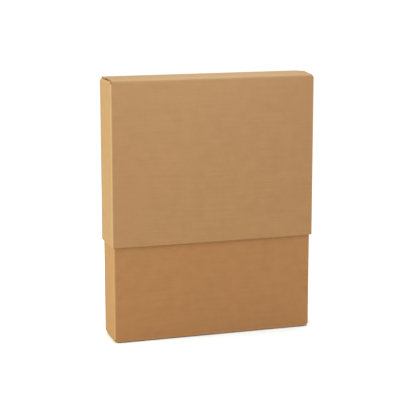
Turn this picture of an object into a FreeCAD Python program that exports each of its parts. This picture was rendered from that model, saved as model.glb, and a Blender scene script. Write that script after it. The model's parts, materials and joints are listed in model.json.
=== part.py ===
import FreeCAD, Part
import Sketcher
import math
import os

# Telescopic carton of double-wall corrugated board: two half-slotted cases, each folded from one sheet.
# The base stands on its closed end, and the cover hangs upside down over its upper part.
# Origin: middle of the footprint, on the floor. +X right, +Y back, +Z up. Millimetres.

os.makedirs("parts", exist_ok=True)
doc = FreeCAD.newDocument("telescopic_carton")

# Driving sizes, each with its own name
sizes = [
    ("cover_width", 1000.0),   # outside of the cover, left to right
    ("cover_depth", 215.0),    # outside of the cover, front to back
    ("cover_height", 785.0),   # mouth of the cover to the top of its closed flaps
    ("base_height", 785.0),    # floor to the rim of the base
    ("base_showing", 467.0),   # floor to the mouth of the cover
    ("board", 6.5),            # thickness of the board
    ("fold_radius", 6.0),      # outside of a fold
    ("score_radius", 1.5),     # inside of a fold
    ("left_gap", 0.3),         # base to cover, where the cover leans on it
    ("right_gap", 2.9),
    ("front_gap", 0.5),
    ("back_gap", 3.0),         # has room for the cover's glue lap
    ("slot_width", 9.0),       # outside of a panel to the end of the flap beside it
    ("slot_past", 1.0),        # slot, cut past the rounding of the creases
    ("short_flap", 107.0),     # side face to the free edge of a short flap
    ("flap_seam", 2.0),        # between the free edges of the two long flaps
    ("flap_gap", 0.3),         # round a flap that moves
    ("lap_width", 42.0),       # glue lap, past the side panel
    ("lap_board", 2.2),        # thickness of the glue lap, which is crushed flat
    ("lap_taper", 14.0),       # slant of the lap's ends
    ("joint_setback", 0.8),    # side face to the raw edge of the back panel
]
sheet = doc.addObject("Spreadsheet::Sheet", "Sizes")
for row, (alias, size) in enumerate(sizes, start=1):
    sheet.set("A%d" % row, alias)
    sheet.set("B%d" % row, str(size))
    sheet.setAlias("B%d" % row, alias)
doc.recompute()

BOARD = "Sizes.board"
MIDDLE = "0"                    # the cover's own middle, front to back
TOP = "(Sizes.base_showing + Sizes.cover_height)"
FOLD = "min(Sizes.fold_radius; 0.95 * Sizes.board)"

# A half of the carton: its outer faces, its closed end, the way its panels run from that end
# (1 up, -1 down) and the gap between its layers of flaps
cover = {
    "left": "(-Sizes.cover_width / 2)",
    "right": "(Sizes.cover_width / 2)",
    "front": "(-Sizes.cover_depth / 2)",
    "back": "(Sizes.cover_depth / 2)",
    "end": TOP,
    "height": "Sizes.cover_height",
    "way": -1,
    "layer_gap": "Sizes.flap_gap",
}
base = {
    "left": "(%s + Sizes.board + Sizes.left_gap)" % cover["left"],
    "right": "(%s - Sizes.board - Sizes.right_gap)" % cover["right"],
    "front": "(%s + Sizes.board + Sizes.front_gap)" % cover["front"],
    "back": "(%s - Sizes.board - Sizes.back_gap)" % cover["back"],
    "end": "0",
    "height": "Sizes.base_height",
    "way": 1,
    "layer_gap": "0",
}


def level(half, depth):
    """Height of what lies this deep inside a half, counted from its closed end."""
    return "(%s %s (%s))" % (half["end"], "+" if half["way"] > 0 else "-", depth)


def outline(body, name, role, offset, loops):
    """Sketch on a plane of the body, this far along its normal: closed loops of (x, y) corners."""
    sketch = body.newObject("Sketcher::SketchObject", name)
    plane = [datum for datum in body.Origin.OriginFeatures if datum.Role == role][0]
    sketch.AttachmentSupport = [(plane, "")]
    sketch.MapMode = "FlatFace"
    sketch.setExpression("AttachmentOffset.Base.z", offset)
    for loop in loops:
        first = sketch.GeometryCount
        count = len(loop)
        turns = [2 * math.pi * corner / count for corner in range(count + 1)]
        ring = [FreeCAD.Vector(math.cos(turn), math.sin(turn), 0) for turn in turns]
        for start, end in zip(ring, ring[1:]):
            sketch.addGeometry(Part.LineSegment(start, end))
        for corner in range(count):
            after = first + (corner + 1) % count
            sketch.addConstraint(Sketcher.Constraint("Coincident", first + corner, 2, after, 1))
        for corner, (x, y) in enumerate(loop):
            for axis, place, start in (("DistanceX", x, ring[corner].x), ("DistanceY", y, ring[corner].y)):
                index = sketch.addConstraint(Sketcher.Constraint(axis, first + corner, 1, start))
                sketch.setExpression("Constraints[%d]" % index, place)
    return sketch


def rectangle(left, right, front, back):
    return [(left, front), (right, front), (right, back), (left, back)]


def pad(body, name, sketch, length, way):
    """Adds the outline's solid, along the plane's normal (way 1) or against it (way -1)."""
    feature = body.newObject("PartDesign::Pad", name)
    feature.Profile = sketch
    feature.setExpression("Length", length)
    feature.Reversed = way < 0
    doc.recompute()
    return feature


def pocket(body, name, sketch, length, way):
    """Cuts the outline out, along the plane's normal (way 1) or against it (way -1)."""
    whole = body.Shape.Volume
    feature = body.newObject("PartDesign::Pocket", name)
    feature.Profile = sketch
    feature.setExpression("Length", length)
    feature.Reversed = way > 0
    doc.recompute()
    if not body.Shape.Volume < whole:
        raise RuntimeError(name + " cuts nothing")
    return feature


def same(one, other):
    return abs(one - other) < 0.001


def round_edges(body, name, radius, wanted):
    """Fillets the body's straight edges whose bounding box, beside the body's own, is wanted."""
    before = body.Tip
    edges = ["Edge%d" % number for number, edge in enumerate(before.Shape.Edges, start=1)
             if wanted(edge.BoundBox, before.Shape.BoundBox)]
    feature = body.newObject("PartDesign::Fillet", name)
    feature.Base = (before, edges)
    feature.setExpression("Radius", radius)
    doc.recompute()
    return feature


def upright(edge):
    return same(edge.XLength, 0) and same(edge.YLength, 0)


def folded_case(label, half):
    """The tube of four panels, its glue joint at the back left, and the two short flaps."""
    body = doc.addObject("PartDesign::Body", label)
    body.Label = label
    way = half["way"]
    crease = level(half, "%s + %s" % (BOARD, half["layer_gap"]))
    length = "(%s - %s - %s)" % (half["height"], BOARD, half["layer_gap"])
    inner_back = "(%s - %s)" % (half["back"], BOARD)

    # The front and side panels, whose left side ends in the fold of the glue lap
    plan = outline(body, label + "_plan", "XY_Plane", crease,
                   [rectangle(half["left"], half["right"], half["front"], inner_back)])
    pad(body, label + "_panels", plan, length, way)
    round_edges(body, label + "_lap_fold", FOLD, lambda edge, whole: upright(edge)
                and same(edge.XMin, whole.XMin) and same(edge.YMax, whole.YMax))

    # The back panel is glued over the lap, and its raw edge shows from the left
    plan = outline(body, label + "_back_plan", "XY_Plane", crease,
                   [rectangle("(%s + Sizes.joint_setback)" % half["left"], half["right"],
                              inner_back, half["back"])])
    pad(body, label + "_back_panel", plan, length, way)
    round_edges(body, label + "_folds", FOLD, lambda edge, whole: upright(edge)
                and (same(edge.XMax, whole.XMax) or same(edge.XMin, whole.XMin))
                and (same(edge.YMin, whole.YMin) or (same(edge.YMax, whole.YMax)
                                                     and same(edge.XMax, whole.XMax))))

    # The space inside, with the crushed inside of each fold
    space = outline(body, label + "_space_plan", "XY_Plane", crease,
                    [rectangle("(%s + %s)" % (half["left"], BOARD), "(%s - %s)" % (half["right"], BOARD),
                               "(%s + %s)" % (half["front"], BOARD), inner_back)])
    pocket(body, label + "_space", space, length, way)
    inset = sheet.get("board")
    round_edges(body, label + "_scores", "Sizes.score_radius", lambda edge, whole: upright(edge)
                and (same(edge.XMax, whole.XMax - inset) or same(edge.XMin, whole.XMin + inset))
                and (same(edge.YMin, whole.YMin + inset) or (same(edge.YMax, whole.YMax - inset)
                                                             and same(edge.XMax, whole.XMax - inset))))

    # Slots between the flaps, at the four corners of the closed end
    past = "Sizes.board"
    left_slot = ("(%s - %s)" % (half["left"], past), "(%s + Sizes.slot_width)" % half["left"])
    right_slot = ("(%s - Sizes.slot_width)" % half["right"], "(%s + %s)" % (half["right"], past))
    front_slot = ("(%s - %s)" % (half["front"], past), "(%s + Sizes.slot_width)" % half["front"])
    back_slot = ("(%s - Sizes.slot_width)" % half["back"], "(%s + %s)" % (half["back"], past))
    corners = [rectangle(*across, *along)
               for across in (left_slot, right_slot) for along in (front_slot, back_slot)]
    slots = outline(body, label + "_slot_plan", "XY_Plane", crease, corners)
    pocket(body, label + "_slots", slots, "(%s + Sizes.slot_past)" % FOLD, way)

    # Short flaps, folded in
    flaps = [rectangle(half["left"], "(%s + Sizes.short_flap)" % half["left"], front_slot[1], back_slot[0]),
             rectangle("(%s - Sizes.short_flap)" % half["right"], half["right"], front_slot[1], back_slot[0])]
    plan = outline(body, label + "_short_plan", "XY_Plane", crease, flaps)
    pad(body, label + "_short_flaps", plan, BOARD, way)
    end = crease_place(body, half)
    round_edges(body, label + "_short_creases", FOLD, lambda edge, whole: same(edge.XLength, 0)
                and same(edge.ZLength, 0) and same(edge.ZMin, end)
                and (same(edge.XMin, whole.XMin) or same(edge.XMax, whole.XMax)))

    # Glue lap on the inside of the back panel
    foot = level(half, "2 * %s + %s + Sizes.slot_past" % (BOARD, half["layer_gap"]))
    tip = level(half, half["height"])
    slant = "Sizes.lap_taper"
    lap_root = "(%s + %s)" % (half["left"], BOARD)
    lap_edge = "(%s + Sizes.lap_width)" % lap_root
    sign = "+" if way > 0 else "-"
    back_sign = "-" if way > 0 else "+"
    corners = [(lap_root, foot), (lap_edge, "(%s %s %s)" % (foot, sign, slant)),
               (lap_edge, "(%s %s %s)" % (tip, back_sign, slant)), (lap_root, tip)]
    lap = outline(body, label + "_lap_plan", "XZ_Plane", "-%s" % inner_back, [corners])
    pad(body, label + "_glue_lap", lap, "Sizes.lap_board", 1)
    return body


def crease_place(body, half):
    """Height of the closed end of what the body has so far."""
    whole = body.Tip.Shape.BoundBox
    return whole.ZMin if half["way"] > 0 else whole.ZMax


def long_creases(body, label, half, plans, thickness):
    """Adds what the long panels carry at the closed end, and rounds its outer edge, the crease."""
    plan = outline(body, label + "_long_plan", "XY_Plane", level(half, "0"), plans)
    pad(body, label + "_long_ends", plan, thickness, half["way"])
    end = crease_place(body, half)
    round_edges(body, label + "_long_creases", FOLD, lambda edge, whole: same(edge.YLength, 0)
                and same(edge.ZLength, 0) and same(edge.ZMin, end)
                and (same(edge.YMin, whole.YMin) or same(edge.YMax, whole.YMax)))


def flap_ends(half):
    return ("(%s + Sizes.slot_width)" % half["left"], "(%s - Sizes.slot_width)" % half["right"])


# Base: its long flaps are glued shut over the short ones and make its underside
base_body = folded_case("base_box", base)
base_middle = "((%s + %s) / 2)" % (base["front"], base["back"])
long_creases(base_body, "base_box", base, [
    rectangle(*flap_ends(base), base["front"], "(%s - Sizes.flap_seam / 2)" % base_middle),
    rectangle(*flap_ends(base), "(%s + Sizes.flap_seam / 2)" % base_middle, base["back"]),
], BOARD)

# Cover: its front and back panels end in the rounded creases that the long flaps turn on
cover_body = folded_case("cover_sleeve", cover)
long_creases(cover_body, "cover_sleeve", cover, [
    rectangle(*flap_ends(cover), cover["front"], "(%s + %s)" % (cover["front"], BOARD)),
    rectangle(*flap_ends(cover), "(%s - %s)" % (cover["back"], BOARD), cover["back"]),
], "(%s + %s)" % (BOARD, cover["layer_gap"]))


def long_flap(label, root, free_edge):
    """A long top flap of the cover, closed, from its crease to the seam in the middle."""
    body = doc.addObject("PartDesign::Body", label)
    body.Label = label
    plan = outline(body, label + "_plan", "XY_Plane", TOP, [rectangle(*flap_ends(cover), root, free_edge)])
    pad(body, label + "_panel", plan, BOARD, -1)
    return body


front_body = long_flap("front_flap", "(%s + %s + Sizes.flap_gap)" % (cover["front"], BOARD),
                       "(%s - Sizes.flap_seam / 2)" % MIDDLE)
back_body = long_flap("back_flap", "(%s - %s - Sizes.flap_gap)" % (cover["back"], BOARD),
                      "(%s + Sizes.flap_seam / 2)" % MIDDLE)

doc.recompute()
for thing in doc.Objects:
    if "Invalid" in thing.State or "Error" in thing.State:
        raise RuntimeError("%s has failed: %s" % (thing.Name, thing.State))
for body in (base_body, cover_body, front_body, back_body):
    shape = body.Shape
    if shape.isNull() or not shape.isValid() or len(shape.Solids) != 1:
        raise RuntimeError(body.Label + " is not one valid solid")
    shape.exportStep("parts/" + body.Label + ".step")
    box = shape.BoundBox
    print("%s: %.0f cm3, x %.1f to %.1f, y %.1f to %.1f, z %.1f to %.1f" % (
        body.Label, shape.Volume / 1000, box.XMin, box.XMax, box.YMin, box.YMax, box.ZMin, box.ZMax))
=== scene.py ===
import json
import math
import bmesh
import bpy
import numpy as np
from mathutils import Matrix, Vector

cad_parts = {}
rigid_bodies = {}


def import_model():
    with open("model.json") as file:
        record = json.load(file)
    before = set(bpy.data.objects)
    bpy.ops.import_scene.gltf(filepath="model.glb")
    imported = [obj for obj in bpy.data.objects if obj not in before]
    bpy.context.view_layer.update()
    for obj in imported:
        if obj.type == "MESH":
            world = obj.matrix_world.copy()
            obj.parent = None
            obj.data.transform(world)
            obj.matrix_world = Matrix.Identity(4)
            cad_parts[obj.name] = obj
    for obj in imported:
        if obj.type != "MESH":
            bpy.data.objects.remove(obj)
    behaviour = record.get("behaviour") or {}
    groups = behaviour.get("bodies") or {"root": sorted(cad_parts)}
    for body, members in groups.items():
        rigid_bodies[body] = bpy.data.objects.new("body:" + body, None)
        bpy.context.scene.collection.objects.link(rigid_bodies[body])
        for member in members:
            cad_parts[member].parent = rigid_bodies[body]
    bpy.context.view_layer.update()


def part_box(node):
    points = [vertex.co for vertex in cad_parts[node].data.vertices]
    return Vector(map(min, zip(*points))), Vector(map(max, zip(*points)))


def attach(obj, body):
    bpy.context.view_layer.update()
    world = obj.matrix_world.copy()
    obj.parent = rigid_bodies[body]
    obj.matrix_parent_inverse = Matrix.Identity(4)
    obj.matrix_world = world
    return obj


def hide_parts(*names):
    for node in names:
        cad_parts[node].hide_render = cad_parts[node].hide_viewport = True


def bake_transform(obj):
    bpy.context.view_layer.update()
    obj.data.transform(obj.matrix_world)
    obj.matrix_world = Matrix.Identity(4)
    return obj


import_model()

mm = 0.001

# Sizes that the frame gives: the cover, the base inside it and one closed flap
coverLow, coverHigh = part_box("cover_sleeve")
baseLow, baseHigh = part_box("base_box")
flapLow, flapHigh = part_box("front_flap")
boardThickness = flapHigh[2] - flapLow[2]
slotWidth = coverHigh[0] - flapHigh[0]
flapGap = flapLow[1] - coverLow[1] - boardThickness
print("frame: cover, base and two flaps")

# How the board is cut and folded, in metres
fold = {
    "outsideRadius": 6 * mm,
    "insideRadius": 1.5 * mm,
    "slotPast": 1 * mm,          # slot, past the rounding of the crease
    "shortFlap": 107 * mm,       # side face to the free edge
    "halfSeam": 1 * mm,
    "glueLine": 0.1 * mm,
    "lapWidth": 42 * mm,
    "lapBoard": 2.2 * mm,        # the lap is crushed where it is glued
    "lapTaper": 14 * mm,
    "jointSetback": 0.8 * mm,
    "besideFold": 0.4,           # how much of a fold's look the board right beside it has
    "levelFold": 0.5,            # how far the flaps' folds turn pale, where 1 is an upright fold
    "bowTurn": 0.75,             # half turns of the bow's sine from the closed end to the mouth
    "bulgeHeight": 60 * mm,      # how far up the walls follow a bulging end
    "arcSteps": 6,
    "wallSteps": 48,
    "wideSteps": 60,
    "narrowSteps": 14,
    "flapSteps": 10,
    "lapPoints": 6,
}

# What a cut edge of double-wall board shows: three flat papers with two fluted ones between them
flutes = {
    "recess": 2.5 * mm,          # how deep the eye sees between the papers
    "pressedRecess": 0.8 * mm,   # a cut along the flutes is pressed nearly shut
    "overlap": 1.0 * mm,         # the papers run on into the board
    "setback": 0.15 * mm,        # the knife pushes them in a little
    "facePaper": 0.07,           # thickness as a share of the board
    "middlePaper": (0.41, 0.47),
    "fluted": ((0.07, 0.41, 6.4 * mm), (0.47, 0.93, 7.9 * mm)),   # fine and coarse, with the pitch
    "paperThickness": 0.3 * mm,
    "stepsPerFlute": 8,
}


# One mesh from points and quads. Doubled points are merged and the faces of the closed shell point
# outwards. blank holds, for each corner of each quad, the place on the flat sheet in metres and how
# much the board is bent there, from 0 to 1, which sets how pale its folds turn: partly fibres that break,
# partly a painted highlight
def newObject(name, vertices, quads, blank=None, smoothAngle=40):
    mesh = bpy.data.meshes.new(name)
    mesh.vertices.add(len(vertices))
    mesh.vertices.foreach_set("co", np.ascontiguousarray(vertices, dtype=np.float32).ravel())
    mesh.loops.add(quads.size)
    mesh.loops.foreach_set("vertex_index", quads.astype(np.int32).ravel())
    mesh.polygons.add(len(quads))
    mesh.polygons.foreach_set("loop_start", np.arange(0, quads.size, 4, dtype=np.int32))
    mesh.polygons.foreach_set("loop_total", np.full(len(quads), 4, dtype=np.int32))
    if blank is not None:
        layer = mesh.uv_layers.new(name="blank")
        layer.data.foreach_set("uv", blank[:, :2].astype(np.float32).ravel())
        foldPaleAndHighlight = mesh.attributes.new("foldPaleAndHighlight", "FLOAT", "CORNER")
        foldPaleAndHighlight.data.foreach_set("value", blank[:, 2].astype(np.float32))
    mesh.update(calc_edges=True)
    mesh.validate()
    shell = bmesh.new()
    shell.from_mesh(mesh)
    bmesh.ops.remove_doubles(shell, verts=shell.verts, dist=0.001 * mm)
    bmesh.ops.dissolve_degenerate(shell, edges=shell.edges, dist=0.001 * mm)
    bmesh.ops.recalc_face_normals(shell, faces=shell.faces)
    shell.to_mesh(mesh)
    shell.free()
    mesh.shade_smooth()
    mesh.set_sharp_from_angle(angle=math.radians(smoothAngle))
    thing = bpy.data.objects.new(name, mesh)
    bpy.context.scene.collection.objects.link(thing)
    return thing


# Closed board from two grids of points, one for each face, whose squares are kept or cut away. Wherever
# a kept square has no kept neighbour, a wall joins the two faces along that cut
def thickSheet(outer, inner, keep, blank):
    rows, columns = outer.shape[:2]
    number = np.arange(rows * columns).reshape(rows, columns)
    a, b, c, d = number[:-1, :-1], number[1:, :-1], number[1:, 1:], number[:-1, 1:]
    faceOut = np.stack([a, b, c, d], -1)[keep]
    faceIn = faceOut[:, ::-1] + rows * columns
    padded = np.pad(keep, 1)
    walls = []
    for side, (first, second) in {
        (-1, 0): (d, a), (1, 0): (b, c), (0, -1): (a, b), (0, 1): (c, d),
    }.items():
        beyond = padded[1 + side[0]:rows + side[0], 1 + side[1]:columns + side[1]]
        cut = keep & ~beyond
        start, end = first[cut], second[cut]
        walls.append(np.stack([end, start, start + rows * columns, end + rows * columns], -1))
    quads = np.concatenate([faceOut, faceIn] + walls)
    points = np.concatenate([outer.reshape(-1, 3), inner.reshape(-1, 3)])
    flat = np.concatenate([blank.reshape(-1, 3)] * 2)
    used, packed = np.unique(quads, return_inverse=True)
    packed = packed.reshape(quads.shape)
    return points[used], packed, flat[used][packed].reshape(-1, 3)


# Groove between the two face papers along one border of the grids. Each face gets two more lines of
# points: the first a paper's thickness in from that face, the second also moved into the board
def groove(sheet, axis, last, into):
    outer, inner, keep, blank = sheet
    index = -1 if last else 0
    edgeOuter, edgeInner = np.take(outer, index, axis), np.take(inner, index, axis)
    across = (edgeInner - edgeOuter) * flutes["facePaper"]

    # The grid with more lines past that border
    def extend(grid, *lines):
        added = np.stack(lines if last else lines[::-1], axis)
        return np.concatenate([grid, added] if last else [added, grid], axis)

    outer = extend(outer, edgeOuter + across, edgeOuter + across + into)
    inner = extend(inner, edgeInner - across, edgeInner - across + into)
    edgeBlank, edgeKeep = np.take(blank, index, axis), np.take(keep, index, axis)
    return outer, inner, extend(keep, edgeKeep, edgeKeep), extend(blank, edgeBlank, edgeBlank)


# A closed strip of paper: two side lines, and the same two lines moved into the board by depth. Quads
# join the four lines all round and close both ends
def ribbon(sideA, sideB, depth):
    count = len(sideA)
    points = np.concatenate([sideA, sideB, sideA + depth, sideB + depth])
    step = np.arange(count - 1)
    a, b, c, d = (step + count * line for line in range(4))
    last = count - 1
    quads = np.concatenate([
        np.stack([a, a + 1, b + 1, b], -1), np.stack([c, d, d + 1, c + 1], -1),
        np.stack([a, c, c + 1, a + 1], -1), np.stack([b, b + 1, d + 1, d], -1),
        np.array([[0, count, 3 * count, 2 * count]]),
        np.array([[last, last + 2 * count, last + 3 * count, last + count]]),
    ])
    return points, quads


# The papers seen in one cut edge. The middle paper follows the edge. A fluted paper is a sine between
# two depths of the board, taken at even steps along the edge's own length
def edgePapers(outerLine, innerLine, into, across=True):
    direction = into / np.linalg.norm(into)
    depth = into + direction * (flutes["overlap"] - flutes["setback"])
    outerLine = outerLine + direction * flutes["setback"]
    innerLine = innerLine + direction * flutes["setback"]
    low, high = flutes["middlePaper"]
    through = innerLine - outerLine
    strips = [ribbon(outerLine + through * low, outerLine + through * high, depth)]
    if not across:     # a cut along the flutes shows the flat papers only
        return strips
    travelled = np.concatenate([[0], np.cumsum(np.linalg.norm(np.diff(outerLine, axis=0), axis=1))])
    for low, high, pitch in flutes["fluted"]:
        steps = int(travelled[-1] / pitch * flutes["stepsPerFlute"]) + 1
        place = np.linspace(0, travelled[-1], steps)
        outer, inner = (np.stack([np.interp(place, travelled, line[:, i]) for i in range(3)], -1)
                        for line in (outerLine, innerLine))
        half = flutes["paperThickness"] / boardThickness / 2
        swing = (high - low) / 2 - half
        share = ((low + high) / 2 + swing * np.sin(2 * math.pi * place / pitch))[:, None]
        strips.append(ribbon(outer + (inner - outer) * (share - half),
                             outer + (inner - outer) * (share + half), depth))
    return strips


# All the strips of one piece as one mesh
def paperObject(name, strips):
    offsets = np.cumsum([0] + [len(points) for points, _ in strips[:-1]])
    points = np.concatenate([strip[0] for strip in strips])
    quads = np.concatenate([quads + offset for (_, quads), offset in zip(strips, offsets)])
    return newObject(name, points, quads)


# Angles of a quarter turn, from 0 to 90 degrees
def quarterTurn(steps):
    return np.linspace(0, math.pi / 2, steps + 1)


# The board's way round a half, seen from above: back panel from its raw edge, right, front and left
# panel, then the glue lap. Each fold is a quarter circle. Gives the points, the panel that each belongs
# to (-1 in a fold), the inward normals and whether the point carries a flap
def tubePath(half, inner):
    left, right, front, back = (half[side] for side in ("left", "right", "front", "back"))
    inset = boardThickness if inner else 0
    radius = fold["insideRadius"] if inner else fold["outsideRadius"]
    slotX = (left + slotWidth, right - slotWidth)
    slotY = (front + slotWidth, back - slotWidth)
    lapFront = back - boardThickness - fold["glueLine"]
    beforeLapFold = lapFront - fold["outsideRadius"] - fold["slotPast"] / 2
    slotLeft = (slotY[0], min(slotY[1], beforeLapFold))
    lapBack = lapFront - (fold["lapBoard"] if inner else 0)
    l, r, f, b = left + inset, right - inset, front + inset, back - inset

    # The panel's two ends, and an even row between its flap's ends
    def along(low, high, slot, steps):
        return np.concatenate([[low], np.linspace(*slot, steps), [high]])

    acrossBack = along(left + fold["jointSetback"], r - radius, slotX, fold["wideSteps"])
    acrossFront = along(l + radius, r - radius, slotX, fold["wideSteps"])[::-1]
    upRight = along(f + radius, b - radius, slotY, fold["narrowSteps"])[::-1]
    upLeft = along(f + radius, lapBack - radius, slotLeft, fold["narrowSteps"])
    lapEnd = left + boardThickness + fold["lapWidth"]
    acrossLap = np.linspace(l + radius, lapEnd, fold["lapPoints"])
    turn = quarterTurn(fold["arcSteps"])[1:-1]

    # A quarter circle clockwise from its start angle, without its two ends
    def corner(x, y, startAngle):
        angle = startAngle - turn
        return np.stack([x + radius * np.cos(angle), y + radius * np.sin(angle)], -1)

    # A straight row, of which x or y is one number
    def straight(x, y):
        return np.stack(np.broadcast_arrays(x, y), -1)

    pieces = [
        (0, straight(acrossBack, b)), (-1, corner(r - radius, b - radius, math.pi / 2)),
        (1, straight(r, upRight)), (-1, corner(r - radius, f + radius, 0)),
        (2, straight(acrossFront, f)), (-1, corner(l + radius, f + radius, -math.pi / 2)),
        (3, straight(l, upLeft)), (-1, corner(l + radius, lapBack - radius, math.pi)),
        (4, straight(acrossLap, lapBack)),
    ]
    points = np.concatenate([piece for _, piece in pieces])
    panel = np.concatenate([np.full(len(piece), index) for index, piece in pieces])
    inward = {0: (0, -1), 1: (-1, 0), 2: (0, 1), 3: (1, 0), 4: (0, -1), -1: (0, 0)}
    normals = np.array([inward[index] for index in panel], float)
    carries = np.concatenate([
        np.concatenate([[False], np.ones(len(piece) - 2, bool), [False]]) if index in (0, 1, 2, 3)
        else np.zeros(len(piece), bool) for index, piece in pieces])
    return points, panel, normals, carries


# The two halves. end is how high the closed end lies, and way is 1 where the mouth is above it
halves = {
    "cover": {
        "left": coverLow[0], "right": coverHigh[0], "front": coverLow[1], "back": coverHigh[1],
        "height": coverHigh[2] - coverLow[2], "end": coverHigh[2], "way": -1,
        "layerGap": flapGap, "longFlap": boardThickness, "openFlaps": True,
        "bow": 2.5 * mm,        # the middle of a wide panel stands out, so the cover slides clear
        "flare": 1.0 * mm,      # at the mouth
        "bulge": 0.0,
    },
    "base": {
        "left": baseLow[0], "right": baseHigh[0], "front": baseLow[1], "back": baseHigh[1],
        "height": baseHigh[2] - baseLow[2], "end": baseLow[2], "way": 1,
        "layerGap": fold["glueLine"], "longFlap": (baseHigh[1] - baseLow[1]) / 2 - fold["halfSeam"],
        "openFlaps": False,
        "bow": -1.5 * mm,
        "flare": 0.0,
        "bulge": 4.0 * mm,      # the bottom stands on its middle, and its long creases clear the floor
    },
}
# How far from the closed end the slots between the flaps stop
slotFloor = boardThickness + flapGap + fold["outsideRadius"] + fold["slotPast"]


# Moves points outwards. The wide panels bow by a cosine across their width times a sine from the closed
# end to the mouth, which is largest two thirds of the way. All four flare with the square of that way.
# Near the closed end points also move towards the mouth, with the cube of their way from the middle to
# a wide panel, and less the further up they are
def bow(points, half):
    middleX, middleY = (half["left"] + half["right"]) / 2, (half["front"] + half["back"]) / 2
    halfX, halfY = (half["right"] - half["left"]) / 2, (half["back"] - half["front"]) / 2
    moved = points.copy()
    x, y = (points[..., 0] - middleX) / halfX, (points[..., 1] - middleY) / halfY
    fromEnd = (points[..., 2] - half["end"]) * half["way"]
    toMouth = np.clip(fromEnd / half["height"], 0, 1)
    belly = np.sin(math.pi * toMouth * fold["bowTurn"]) * np.cos(x * math.pi / 2)
    nearEnd = np.clip(1 - fromEnd / fold["bulgeHeight"], 0, 1)
    moved[..., 2] += half["way"] * half["bulge"] * np.abs(y) ** 3 * nearEnd
    moved[..., 1] += y * (half["bow"] * belly + half["flare"] * toMouth ** 2)
    moved[..., 0] += x * half["flare"] * toMouth ** 2
    return moved


# The board of one half as two grids: round the tube (rows) and from the mouth to the free edges of the
# flaps (columns). Past the slots a flap's point moves inwards from its panel by a quarter circle and a
# straight run, while its depth under the closed end follows the same curve. The cover's long panels stop
# at the slots, where the bending creases take over
def foldedHalf(half):
    outPath, panel, normals, carries = tubePath(half, False)
    inPath = tubePath(half, True)[0]
    isLong = np.isin(panel, (0, 2))
    crease = np.where(isLong, 0, boardThickness + half["layerGap"])
    turn = quarterTurn(fold["arcSteps"])
    run = np.linspace(0, 1, fold["flapSteps"] + 1)[1:]
    count = len(outPath)
    upWall = np.linspace(0, 1, fold["wallSteps"] + 1)
    wallDepth = half["height"] + (slotFloor - half["height"]) * upWall
    reach = np.where(isLong, half["longFlap"], fold["shortFlap"])[:, None]
    faces = []
    for path, radius, inset in ((outPath, fold["outsideRadius"], 0),
                                (inPath, fold["insideRadius"], boardThickness)):
        start = inset + radius
        depth = np.concatenate([
            np.broadcast_to(wallDepth, (count, len(wallDepth))),
            crease[:, None] + start - radius * np.sin(turn)[None, :],
            np.broadcast_to((crease + inset)[:, None], (count, len(run))),
        ], 1)
        move = np.concatenate([
            np.full((count, len(wallDepth)), float(inset)),
            np.broadcast_to(start - radius * np.cos(turn), (count, len(turn))),
            start + (reach - start) * run[None, :],
        ], 1)
        extra = np.where(carries[:, None], move - inset, 0)
        x = path[:, 0, None] + normals[:, 0, None] * extra
        y = path[:, 1, None] + normals[:, 1, None] * extra
        faces.append(np.stack([x, y, depth], -1))

    # The lap's two ends are cut on a slant
    onLap = panel == 4
    lapStart = half["left"] + boardThickness
    across = np.clip((outPath[onLap, 0] - lapStart) / fold["lapWidth"], 0, 1)
    middle = (half["height"] + slotFloor) / 2
    squeeze = 1 - across * fold["lapTaper"] / (half["height"] - middle)
    for face in faces:
        face[onLap, :, 2] = middle + (face[onLap, :, 2] - middle) * squeeze[:, None]

    keep = np.ones((count - 1, faces[0].shape[1] - 1), bool)
    pair = carries[:-1] & carries[1:] & (panel[:-1] == panel[1:])
    wallColumns = len(wallDepth) - 1
    keep[:, wallColumns:] = (pair & ~isLong[:-1] if half["openFlaps"] else pair)[:, None]

    # Place on the flat sheet: round the tube, and from the mouth to the free edge, with the bend. The
    # bend turns the folds pale, partly as a painted highlight
    aroundTube = np.concatenate([[0], np.cumsum(np.linalg.norm(np.diff(outPath, axis=0), axis=1))])
    bend = fold["outsideRadius"] * math.pi / 2 / len(turn)
    flapSteps = np.concatenate([np.full(len(turn), bend), np.full(len(run), reach.min() / len(run))])
    up = np.concatenate([half["height"] - wallDepth, half["height"] - slotFloor + np.cumsum(flapSteps)])
    inFold = (panel == -1).astype(float)
    beside = np.maximum(np.append(inFold[1:], 0), np.insert(inFold[:-1], 0, 0)) * fold["besideFold"]
    inTurn = np.zeros(len(up))
    inTurn[len(wallDepth):len(wallDepth) + len(turn)] = fold["levelFold"]
    # Folds, the board beside them and the flaps' folds turn pale, partly as a painted highlight
    foldPaleAndHighlight = np.maximum(np.maximum(inFold, beside)[:, None], inTurn[None, :])
    blank = np.stack(np.broadcast_arrays(aroundTube[:, None], up[None, :], foldPaleAndHighlight), -1)
    for face in faces:
        face[..., 2] = half["end"] + half["way"] * face[..., 2]
    outer, inner = (bow(face, half) for face in faces)
    return {"outer": outer, "inner": inner, "keep": keep, "blank": blank, "panel": panel,
            "normals": normals, "carries": carries, "wallColumns": wallColumns}


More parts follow.
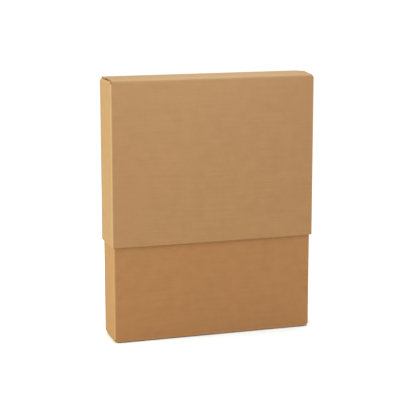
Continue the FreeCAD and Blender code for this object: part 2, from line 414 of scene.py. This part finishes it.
# One half: its board, with grooves at the mouth, the raw edge and the flaps' free edges, and the papers
# in those grooves
def makeHalf(name, half):
    sheet = foldedHalf(half)
    outer, inner, panel = sheet["outer"], sheet["inner"], sheet["panel"]
    deep = flutes["recess"]
    intoMouth = np.array([0, 0, -half["way"] * deep])
    intoRaw = np.array([flutes["pressedRecess"], 0, 0])
    flat = np.concatenate([-sheet["normals"], np.zeros((len(panel), 1))], 1) * deep
    intoFree = np.where(sheet["carries"][:, None], flat, 0)

    walls = slice(0, np.flatnonzero(panel == 3)[-1] + 1)
    strips = edgePapers(outer[walls, 0], inner[walls, 0], intoMouth)
    upright = slice(0, sheet["wallColumns"] + 1)
    strips += edgePapers(outer[0, upright], inner[0, upright], intoRaw, across=False)
    for index in (1, 3) if half["openFlaps"] else (0, 1, 2, 3):
        rows = np.flatnonzero((panel == index) & sheet["carries"])
        strips += edgePapers(outer[rows, -1], inner[rows, -1], flat[rows[0]])

    grids = (outer, inner, sheet["keep"], sheet["blank"])
    grids = groove(grids, 1, True, intoFree)
    grids = groove(grids, 1, False, intoMouth)
    grids = groove(grids, 0, False, intoRaw)
    board = newObject(name + "Board", *thickSheet(*grids))
    return board, paperObject(name + "EdgePapers", strips), sheet


coverBoard, coverEdgePapers, coverSheet = makeHalf("cover", halves["cover"])
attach(coverBoard, "cover")
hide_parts("cover_sleeve")
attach(coverEdgePapers, "cover")
baseBoard, baseEdgePapers, _ = makeHalf("base", halves["base"])
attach(baseBoard, "base")
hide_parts("base_box")
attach(baseEdgePapers, "base")
print("board of the cover and the base, with the papers in their edges")

# The two long flaps of the cover, which spring up a little because nothing holds them down. Opened all
# the way, their free edges lie 9 mm off the wall, so a larger lift would cut into it
longFlap = {
    "liftLeft": 5 * mm,
    "liftRight": 7.5 * mm,
    "liftCurve": 1.3,        # 1 is a straight flap, more leaves the crease gently
    "acrossSteps": 24,
    "creaseFade": 1.4,       # the fold's look fades from its middle to its ends, and more fades later
    "creaseArcSteps": 10,
    "creaseStraightSteps": 7,
}
flapEnds = (flapLow[0], flapHigh[0])
flapReach = coverHigh[1] - fold["halfSeam"]


# Points at every x from the distance in from the crease's outer line and the depth under the closed top.
# side is -1 in front and 1 behind. The lift grows evenly from left to right, and with a power of the
# distance
def onFlap(x, inwards, depth, side):
    x, inwards, depth = np.broadcast_arrays(x[:, None], inwards[None, :], depth[None, :])
    share = (x - flapEnds[0]) / (flapEnds[1] - flapEnds[0])
    lift = longFlap["liftLeft"] + (longFlap["liftRight"] - longFlap["liftLeft"]) * share
    out = np.clip((inwards - boardThickness) / (flapReach - boardThickness), 0, 1)
    z = coverHigh[2] - depth + lift * out ** longFlap["liftCurve"]
    return np.stack([x, side * (coverHigh[1] - inwards), z], -1)


# Place on the flat sheet, and the bend, which sets the fold's pale colour and painted highlight. Across,
# it is read off the wall panel that the flap hangs on, and the length past the slots' end is added to the
# height of that wall
def flapBlank(x, lengths, foldPaleAndHighlight, side):
    rows = np.flatnonzero(coverSheet["panel"] == (2 if side < 0 else 0))
    panelX, panelU = coverSheet["outer"][rows, 0, 0], coverSheet["blank"][rows, 0, 0]
    order = np.argsort(panelX)
    u = np.interp(x, panelX[order], panelU[order])
    v = halves["cover"]["height"] - slotFloor + lengths
    return np.stack(np.broadcast_arrays(u[:, None], v[None, :], foldPaleAndHighlight[None, :]), -1)


# The crease: board that follows the wall, a quarter circle and the flap, with as many points inside as
# outside. Gives its length too
def creaseBoard(name, side, x):
    paths = []
    for radius, inset in ((fold["outsideRadius"], 0), (fold["insideRadius"], boardThickness)):
        start = inset + radius
        straight = np.linspace(slotFloor, start, longFlap["creaseStraightSteps"] + 1)[:-1]
        turn = quarterTurn(longFlap["creaseArcSteps"])
        level = np.full(len(straight), float(inset))
        inwards = np.concatenate([level, start - radius * np.cos(turn), straight[::-1]])
        depth = np.concatenate([straight, start - radius * np.sin(turn), level])
        paths.append((inwards, depth))
    outer, inner = (onFlap(x, inwards, depth, side) for inwards, depth in paths)
    steps = np.hypot(np.diff(paths[0][0]), np.diff(paths[0][1]))
    lengths = np.concatenate([[0], np.cumsum(steps)])
    fromMiddle = np.abs(lengths / lengths[-1] - 0.5) * 2
    # The crease turns pale towards its middle, partly as a painted highlight
    foldPaleAndHighlight = fold["levelFold"] * np.clip(longFlap["creaseFade"] * (1 - fromMiddle), 0, 1)
    blank = flapBlank(x, lengths, foldPaleAndHighlight, side)
    keep = np.ones((outer.shape[0] - 1, outer.shape[1] - 1), bool)
    crease = newObject(name, *thickSheet(outer, inner, keep, blank))
    return crease, np.sum(steps)


# The flap past its crease: board between its upper and its under side, with grooves at the free edge and
# both ends, and the papers in those grooves
def makeLongFlap(name, side, x, creaseLength):
    inwards = np.linspace(slotFloor, flapReach, longFlap["acrossSteps"])
    level = np.zeros(len(inwards))
    outer = onFlap(x, inwards, level, side)
    inner = onFlap(x, inwards, level + boardThickness, side)
    blank = flapBlank(x, creaseLength + inwards - slotFloor, level, side)
    keep = np.ones((len(x) - 1, len(inwards) - 1), bool)
    intoFree = np.array([0, side * flutes["recess"], 0])
    intoLeft = np.array([flutes["pressedRecess"], 0, 0])
    intoRight = -intoLeft
    strips = edgePapers(outer[:, -1], inner[:, -1], intoFree)
    strips += edgePapers(outer[0], inner[0], intoLeft, across=False)
    strips += edgePapers(outer[-1], inner[-1], intoRight, across=False)
    grids = groove((outer, inner, keep, blank), 1, True, intoFree)
    grids = groove(grids, 0, False, intoLeft)
    grids = groove(grids, 0, True, intoRight)
    board = newObject(name + "Board", *thickSheet(*grids))
    return board, paperObject(name + "EdgePapers", strips)


for side, body, title in ((-1, "front_flap", "front"), (1, "back_flap", "back")):
    x = np.linspace(*flapEnds, fold["wideSteps"])
    crease, creaseLength = creaseBoard(title + "Crease", side, x)
    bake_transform(crease)

    flapBoard, flapEdgePapers = makeLongFlap(title + "Flap", side, x, creaseLength)
    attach(flapBoard, body)
    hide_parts(body)
    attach(flapEdgePapers, body)
print("long flaps and the creases that they turn on")


# sRGB hex to linear red, green, blue and alpha, by the sRGB curve: a straight line for the darkest
# values, and a power of 2.4 above it
def linear(hexColour):
    values = [int(hexColour[i:i + 2], 16) / 255 for i in (1, 3, 5)]
    return tuple(v / 12.92 if v <= 0.04045 else ((v + 0.055) / 1.055) ** 2.4 for v in values) + (1.0,)


# One node, with its settings, and its inputs either linked or set
def addNode(tree, kind, settings=None, inputs=None):
    node = tree.nodes.new(kind)
    for key, value in (settings or {}).items():
        setattr(node, key, value)
    for key, value in (inputs or {}).items():
        if isinstance(value, bpy.types.NodeSocket):
            tree.links.new(value, node.inputs[key])
        else:
            node.inputs[key].default_value = value
    return node


# Unbleached kraft liner: long brown wood fibres laid down on a paper machine. The eye gets a matt, warm
# brown with cloudy formation, short fibres and faint streaks across the flutes, and here and there a dark
# fleck. Sizes are in millimetres
kraft = {
    "roughness": 0.78,
    "ior": 1.46,
    "cloud": 55.0,
    "streak": (260.0, 5.5),       # long way and short way
    "fibre": (7.0, 1.6),          # coarser than the real fibre, so that it shows
    "cloudDetail": 4.0,
    "streakDetail": 3.0,
    "fibreDetail": 4.0,
    "fineness": 0.6,              # how strong each finer layer of the noises is
    "shares": (0.26, 0.3, 0.44),  # of cloud, streak and fibre in the tone
    "toneLow": 0.25,
    "toneHigh": 0.75,
    "fleck": 7.0,                 # at most one dark speck in each square of this size
    "fleckSize": 0.09,            # radius as a share of the square
    "fleckCore": 0.4,             # share of the radius that is darkest
    "fleckStrength": 0.6,
    "fleckNone": 0.55,            # random values up to this give no speck
    "fleckFull": 0.8,             # and from this on a full one
    "foldPaleAndHighlightLeast": 0.3,           # how far a fold turns to its pale colour: fibres that break, and partly a painted highlight
    "foldPaleAndHighlightMost": 0.85,
    "creaseFibre": (0.3, 0.7),    # fibre noise at those two
    "flutePitch": 7.9,
    "fluteDepth": 0.03,           # the liner sinks a little between the flutes
    "fibreDepth": 0.03,
}


# The tone is the sum of three noises times their shares, and mixes the dark with the pale colour. Specks
# and then the folds' pale colour, partly a painted highlight, are mixed over it. The bumps are a wave for
# the flutes plus the fibre noise
def kraftLiner(name, dark, pale, fleckColour, foldPaleAndHighlightColour):
    material = bpy.data.materials.new(name)
    material.use_nodes = True
    tree = material.node_tree
    shader = tree.nodes["Principled BSDF"]
    shader.inputs["Roughness"].default_value = kraft["roughness"]
    shader.inputs["IOR"].default_value = kraft["ior"]
    sheet = addNode(tree, "ShaderNodeUVMap", {"uv_map": "blank"}).outputs["UV"]

    # Noise whose grain is so many millimetres round the tube and up it
    def noise(sizeU, sizeV, detail):
        scale = (1000 / sizeU, 1000 / sizeV, 1)
        place = addNode(tree, "ShaderNodeMapping", None, {"Vector": sheet, "Scale": scale})
        grain = addNode(tree, "ShaderNodeTexNoise", {"noise_dimensions": "2D"},
                        {"Vector": place.outputs[0], "Scale": 1.0, "Detail": detail,
                         "Roughness": kraft["fineness"]})
        return grain.outputs["Fac"]

    cloud = noise(kraft["cloud"], kraft["cloud"], kraft["cloudDetail"])
    streak = noise(*kraft["streak"], kraft["streakDetail"])
    fibre = noise(*kraft["fibre"], kraft["fibreDetail"])
    clouds, streaks, fibres = kraft["shares"]
    cloudy = addNode(tree, "ShaderNodeMath", {"operation": "MULTIPLY"}, {0: cloud, 1: clouds})
    streaky = addNode(tree, "ShaderNodeMath", {"operation": "MULTIPLY_ADD"},
                      {0: streak, 1: streaks, 2: cloudy.outputs[0]})
    fibrous = addNode(tree, "ShaderNodeMath", {"operation": "MULTIPLY_ADD"},
                      {0: fibre, 1: fibres, 2: streaky.outputs[0]})
    tone = addNode(tree, "ShaderNodeMapRange", None,
                   {"Value": fibrous.outputs[0],
                    "From Min": kraft["toneLow"], "From Max": kraft["toneHigh"]})
    liner = addNode(tree, "ShaderNodeMix", {"data_type": "RGBA"},
                    {0: tone.outputs[0], 6: linear(dark), 7: linear(pale)})

    spread = addNode(tree, "ShaderNodeMapping", None,
                     {"Vector": sheet, "Scale": (1000 / kraft["fleck"],) * 3})
    specks = addNode(tree, "ShaderNodeTexVoronoi", {"voronoi_dimensions": "2D"},
                     {"Vector": spread.outputs[0], "Scale": 1.0})
    fleck = addNode(tree, "ShaderNodeMapRange", None,
                    {"Value": specks.outputs["Distance"], "From Min": kraft["fleckSize"],
                     "From Max": kraft["fleckSize"] * kraft["fleckCore"],
                     "To Max": kraft["fleckStrength"]})
    chosen = addNode(tree, "ShaderNodeMapRange", None,
                     {"Value": specks.outputs["Color"],
                      "From Min": kraft["fleckNone"], "From Max": kraft["fleckFull"]})
    rare = addNode(tree, "ShaderNodeMath", {"operation": "MULTIPLY"},
                   {0: fleck.outputs[0], 1: chosen.outputs[0]})
    flecked = addNode(tree, "ShaderNodeMix", {"data_type": "RGBA"},
                      {0: rare.outputs[0], 6: liner.outputs[2], 7: linear(fleckColour)})

    # Bent fibres break up and turn pale, unevenly along the fold. The same pale colour also paints the
    # highlight that a rounded fold catches, so it is partly a painted highlight
    foldPaleAndHighlight = addNode(tree, "ShaderNodeAttribute", {"attribute_name": "foldPaleAndHighlight"})
    fibreLow, fibreHigh = kraft["creaseFibre"]
    brokenFibresAndHighlight = addNode(tree, "ShaderNodeMapRange", None,
                     {"Value": fibre, "From Min": fibreLow, "From Max": fibreHigh,
                      "To Min": kraft["foldPaleAndHighlightLeast"], "To Max": kraft["foldPaleAndHighlightMost"]})
    paler = addNode(tree, "ShaderNodeMath", {"operation": "MULTIPLY"},
                    {0: foldPaleAndHighlight.outputs["Fac"], 1: brokenFibresAndHighlight.outputs[0]})
    coloured = addNode(tree, "ShaderNodeMix", {"data_type": "RGBA"},
                       {0: paler.outputs[0], 6: flecked.outputs[2], 7: linear(foldPaleAndHighlightColour)})
    tree.links.new(coloured.outputs[2], shader.inputs["Base Color"])

    # At scale 1 one wave of this texture is 2 pi / 20 long
    inMillimetres = addNode(tree, "ShaderNodeMapping", None, {"Vector": sheet, "Scale": (1000,) * 3})
    waveScale = 2 * math.pi / 20 / kraft["flutePitch"]
    ripple = addNode(tree, "ShaderNodeTexWave", {"bands_direction": "X"},
                     {"Vector": inMillimetres.outputs[0], "Scale": waveScale})
    rippled = addNode(tree, "ShaderNodeBump", None,
                      {"Height": ripple.outputs["Fac"], "Distance": kraft["fluteDepth"] * mm})
    rough = addNode(tree, "ShaderNodeBump", None,
                    {"Height": fibre, "Distance": kraft["fibreDepth"] * mm,
                     "Normal": rippled.outputs[0]})
    tree.links.new(rough.outputs[0], shader.inputs["Normal"])
    return material


# Thin recycled paper, greyer and duller than the liner, seen in the cut edges only
recycled = {
    "roughness": 0.9,
    "grain": 6.0,                 # in millimetres
    "detail": 3.0,
}


# One noise mixes the dark with the pale colour
def flutingMedium(name, dark, pale):
    material = bpy.data.materials.new(name)
    material.use_nodes = True
    tree = material.node_tree
    shader = tree.nodes["Principled BSDF"]
    shader.inputs["Roughness"].default_value = recycled["roughness"]
    shader.inputs["IOR"].default_value = kraft["ior"]
    place = addNode(tree, "ShaderNodeTexCoord").outputs["Object"]
    grain = addNode(tree, "ShaderNodeTexNoise", None,
                    {"Vector": place, "Scale": 1000 / recycled["grain"], "Detail": recycled["detail"]})
    mixed = addNode(tree, "ShaderNodeMix", {"data_type": "RGBA"},
                    {0: grain.outputs["Fac"], 6: linear(dark), 7: linear(pale)})
    tree.links.new(mixed.outputs[2], shader.inputs["Base Color"])
    return material


coverKraft = kraftLiner("coverKraftLiner", "#8e663e", "#a1764b", "#5f3d28", "#ae8b67")
# The base's liner is darker and more orange than the cover's: partly board from another sheet, partly
# painted shade of the base standing lower, below the cover's edge
baseKraftAndShade = kraftLiner("baseLinerAndShade", "#8c5e32", "#a07041", "#5c381d", "#ab8356")
medium = flutingMedium("flutingMedium", "#8a6540", "#b08a5e")
for thing in list(bpy.context.scene.objects):
    if thing.name.endswith(("Board", "Crease", "Papers")):
        isBase, isPaper = thing.name.startswith("base"), thing.name.endswith("Papers")
        thing.data.materials.append(medium if isPaper else baseKraftAndShade if isBase else coverKraft)
print("kraft liner and fluting medium")

# Floor, light and camera
studio = {
    "floorSize": 60.0,
    "floorColour": "#f8fbff",
    "floorRoughness": 0.95,
    "worldStrength": 1.14,
    "worldColour": "#fff9f3",
    "camera": (-1.8327, -5.8771, 1.8869),
    "yaw": 17.330,
    "pitch": -10.627,
    "focalPixels": 1298.2,
    "axisRow": 183.0,          # image row, of 416, that the camera's axis goes through
    "frameSize": 416.0,
    "sensor": 36.0,
}
# Each light: place, target, size in metres, power in watts, colour
lights = {
    "leftKey": ((-4.2, -0.2, 1.7), (0, 0, 0.6), 2.6, 138, (0.76, 1.0, 0.69)),
    "cornerSoftbox": ((-1.1, -1.3, 2.3), (-0.3, 0, 1.0), 1.0, 5, (0.9, 0.9, 1.0)),
    "topSoftbox": ((0.0, -0.75, 2.05), (0.0, -0.1, 1.1), 0.9, 10, (0.42, 0.72, 1.0)),
    "overhead": ((0.5, 0.9, 3.6), (0.15, 0, 1.2), 1.6, 43, (0.66, 1.0, 0.8)),
}
edge = studio["floorSize"] / 2
floorMesh = bpy.data.meshes.new("floor")
floorCorners = [(-edge, -edge, 0), (edge, -edge, 0), (edge, edge, 0), (-edge, edge, 0)]
floorMesh.from_pydata(floorCorners, [], [(0, 1, 2, 3)])
floor = bpy.data.objects.new("floor", floorMesh)
bpy.context.scene.collection.objects.link(floor)
paleFloor = bpy.data.materials.new("paleFloor")
paleFloor.use_nodes = True
floorShader = paleFloor.node_tree.nodes["Principled BSDF"]
floorShader.inputs["Base Color"].default_value = linear(studio["floorColour"])
floorShader.inputs["Roughness"].default_value = studio["floorRoughness"]
floor.data.materials.append(paleFloor)

world = bpy.data.worlds.new("studio")
bpy.context.scene.world = world
world.use_nodes = True
world.node_tree.nodes["Background"].inputs["Color"].default_value = linear(studio["worldColour"])
world.node_tree.nodes["Background"].inputs["Strength"].default_value = studio["worldStrength"]
bpy.context.scene.view_settings.view_transform = "Standard"

for name, (place, target, size, power, colour) in lights.items():
    data = bpy.data.lights.new(name, "AREA")
    data.shape = "DISK"
    data.size = size
    data.energy = power
    data.color = colour
    light = bpy.data.objects.new(name, data)
    light.location = place
    light.rotation_euler = (Vector(target) - Vector(place)).to_track_quat("-Z", "Y").to_euler()
    light.visible_camera = False
    bpy.context.scene.collection.objects.link(light)

cameraData = bpy.data.cameras.new("camera")
cameraData.sensor_width = studio["sensor"]
cameraData.lens = studio["sensor"] * studio["focalPixels"] / studio["frameSize"]
cameraData.shift_y = (studio["axisRow"] - studio["frameSize"] / 2) / studio["frameSize"]
camera = bpy.data.objects.new("camera", cameraData)
camera.location = studio["camera"]
camera.rotation_euler = (math.radians(90 + studio["pitch"]), 0, -math.radians(studio["yaw"]))
bpy.context.scene.collection.objects.link(camera)
bpy.context.scene.camera = camera
print("floor, light and camera")
